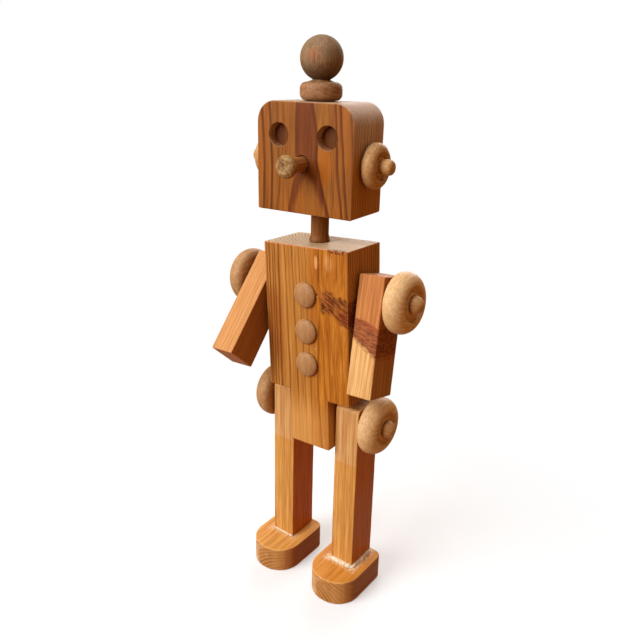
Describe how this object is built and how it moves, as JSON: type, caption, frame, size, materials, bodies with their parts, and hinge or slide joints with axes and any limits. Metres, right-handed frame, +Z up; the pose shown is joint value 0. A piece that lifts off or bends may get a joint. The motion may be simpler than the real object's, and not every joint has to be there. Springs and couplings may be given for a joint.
{
  "type": "wooden toy robot",
  "caption": "Standing toy robot of wooden blocks and turned parts, with swinging arms and legs, a turning head and free wheels on its shoulders, hips and ears.",
  "frame": {"origin": "middle of the object's box at rest, on the floor under the soles", "axes": "+Z up, the face looks to -Y, the robot's own left is at +X"},
  "size_m": [0.1558, 0.0744, 0.3841],
  "materials": {
    "head_fir": "satin varnish, straight dark grain with a red-brown band",
    "torso_fir": "satin varnish, orange, striped grain and a knot swirl",
    "arm_right_fir": "satin varnish, light peach-orange",
    "arm_left_pine": "satin varnish, pale yellow with a diagonal dark band",
    "leg_fir": "satin varnish, orange, paler at the top",
    "foot_fir": "satin varnish, orange",
    "wheel_birch": "smooth satin, pale turned wood",
    "peg_birch": "smooth satin, pale turned wood",
    "button_birch": "smooth satin, pale grey-brown turned wood",
    "ball_birch": "smooth satin, grey-brown turned wood",
    "neck_birch": "matt, greyish beige dowel"
  },
  "bodies": {
    "torso": {"torso_block": "torso_fir", "neck_dowel": "neck_birch", "shoulder_peg_left": "peg_birch", "shoulder_peg_right": "peg_birch", "hip_peg_left": "peg_birch", "hip_peg_right": "peg_birch", "chest_button_top": "button_birch", "chest_button_middle": "button_birch", "chest_button_bottom": "button_birch"},
    "head": {"head_block": "head_fir", "nose_peg": "peg_birch", "ear_peg_left": "peg_birch", "ear_peg_right": "peg_birch", "antenna_collar": "ball_birch", "antenna_ball": "ball_birch", "antenna_dowel": "peg_birch"},
    "arm_left": {"arm_left": "arm_left_pine"},
    "leg_left": {"leg_left": "leg_fir", "foot_left": "foot_fir", "foot_dowel_left": "peg_birch"},
    "ear_wheel_left": {"ear_wheel_left": "wheel_birch"},
    "shoulder_wheel_left": {"shoulder_wheel_left": "wheel_birch"},
    "hip_wheel_left": {"hip_wheel_left": "wheel_birch"},
    "arm_right": {"arm_right": "arm_right_fir"},
    "leg_right": {"leg_right": "leg_fir", "foot_right": "foot_fir", "foot_dowel_right": "peg_birch"},
    "ear_wheel_right": {"ear_wheel_right": "wheel_birch"},
    "shoulder_wheel_right": {"shoulder_wheel_right": "wheel_birch"},
    "hip_wheel_right": {"hip_wheel_right": "wheel_birch"}
  },
  "joints": [
    {"name": "head_turn", "type": "hinge", "parent": "torso", "child": "head", "pos_m": [-0.00285, 0.01535, 0.2775], "axis": [0, 0, 1], "continuous": true},
    {"name": "left_arm_swing", "type": "hinge", "parent": "torso", "child": "arm_left", "pos_m": [0.07174, 0.01535, 0.22845], "axis": [-0.9984, 0, -0.0558], "range_deg": [-137, 113]},
    {"name": "left_shoulder_wheel_spin", "type": "hinge", "parent": "torso", "child": "shoulder_wheel_left", "pos_m": [0.07174, 0.01535, 0.22845], "axis": [-0.9984, 0, -0.0558], "continuous": true},
    {"name": "left_leg_swing", "type": "hinge", "parent": "torso", "child": "leg_left", "pos_m": [0.05785, 0.01535, 0.136], "axis": [-1, 0, 0], "range_deg": [-12, 12]},
    {"name": "left_hip_wheel_spin", "type": "hinge", "parent": "torso", "child": "hip_wheel_left", "pos_m": [0.05785, 0.01535, 0.136], "axis": [-1, 0, 0], "continuous": true},
    {"name": "left_ear_wheel_spin", "type": "hinge", "parent": "head", "child": "ear_wheel_left", "pos_m": [0.03999, 0.02031, 0.3092], "axis": [-0.9968, -0.0802, 0], "continuous": true},
    {"name": "right_arm_swing", "type": "hinge", "parent": "torso", "child": "arm_right", "pos_m": [-0.07174, 0.01535, 0.22043], "axis": [-0.9984, 0, -0.0558], "range_deg": [-167.3, 82.7]},
    {"name": "right_shoulder_wheel_spin", "type": "hinge", "parent": "torso", "child": "shoulder_wheel_right", "pos_m": [-0.07174, 0.01535, 0.22043], "axis": [-0.9984, 0, -0.0558], "continuous": true},
    {"name": "right_leg_swing", "type": "hinge", "parent": "torso", "child": "leg_right", "pos_m": [-0.04716, 0.01535, 0.136], "axis": [-1, 0, 0], "range_deg": [-12, 12]},
    {"name": "right_hip_wheel_spin", "type": "hinge", "parent": "torso", "child": "hip_wheel_right", "pos_m": [-0.04716, 0.01535, 0.136], "axis": [-1, 0, 0], "continuous": true},
    {"name": "right_ear_wheel_spin", "type": "hinge", "parent": "head", "child": "ear_wheel_right", "pos_m": [-0.04872, 0.01317, 0.3092], "axis": [-0.9968, -0.0802, 0], "continuous": true}
  ]
}
